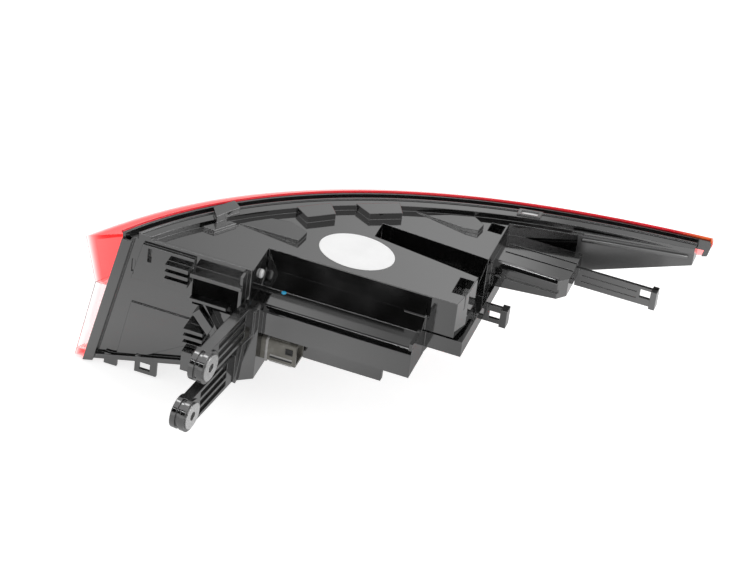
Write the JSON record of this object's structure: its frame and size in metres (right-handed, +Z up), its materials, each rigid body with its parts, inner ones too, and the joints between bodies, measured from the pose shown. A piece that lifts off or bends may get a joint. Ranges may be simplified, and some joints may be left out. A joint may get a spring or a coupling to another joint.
{
  "type": "tail light",
  "caption": "Wrap-around car tail light with a stepped black rear housing, red and clear lens, plug socket, snap clips and bolted fixing arms.",
  "frame": {"origin": "on the axis of the upper fixing bolt, at the forward face of its eye", "axes": "+X forward along the car, +Y outboard to the car's left, +Z up, as fitted"},
  "size_m": [0.4174, 0.2764, 0.1265],
  "materials": {
    "black_housing": "moulded semi-gloss black",
    "black_bracket": "moulded semi-gloss black, glass filled",
    "bush_steel": "turned, zinc plated",
    "screw_steel": "zinc plated",
    "red_lens": "polished clear red acrylic",
    "clear_lens": "polished clear acrylic",
    "sealant": "black sealant",
    "mirror_coat": "metallised",
    "dark_bezel": "dark grey",
    "clear_guide": "clear acrylic",
    "circuit_board": "green solder mask",
    "red_led": "encapsulated",
    "white_led": "encapsulated",
    "amber_led": "encapsulated",
    "sink_aluminium": "extruded, plain",
    "reflex_red": "prismatic",
    "component_black": "moulded",
    "socket_plastic": "beige grey",
    "pin_brass": "tinned",
    "label_white": "bare",
    "membrane_white": "porous film",
    "pin_white": "moulded"
  },
  "bodies": {
    "root": {"rear_housing": "black_housing", "fixing_bracket": "black_bracket", "upper_bolt_bush": "bush_steel", "lower_bolt_bush": "bush_steel", "bracket_screws": "screw_steel", "red_lens": "red_lens", "reversing_lens": "clear_lens", "lens_seal": "sealant", "reflector": "mirror_coat", "inner_bezel": "dark_bezel", "light_guide": "clear_guide", "tail_led_board": "circuit_board", "tail_leds": "red_led", "reversing_led_board": "circuit_board", "reversing_leds": "white_led", "reversing_heat_sink": "sink_aluminium", "turn_led_board": "circuit_board", "turn_leds": "amber_led", "turn_heat_sink": "sink_aluminium", "reflex_reflector": "reflex_red", "driver_board": "circuit_board", "driver_components": "component_black", "board_screws": "screw_steel", "connector_socket": "socket_plastic", "connector_pins": "pin_brass", "oval_label": "label_white", "breather_membrane": "membrane_white", "locating_pin": "pin_white"}
  },
  "joints": []
}
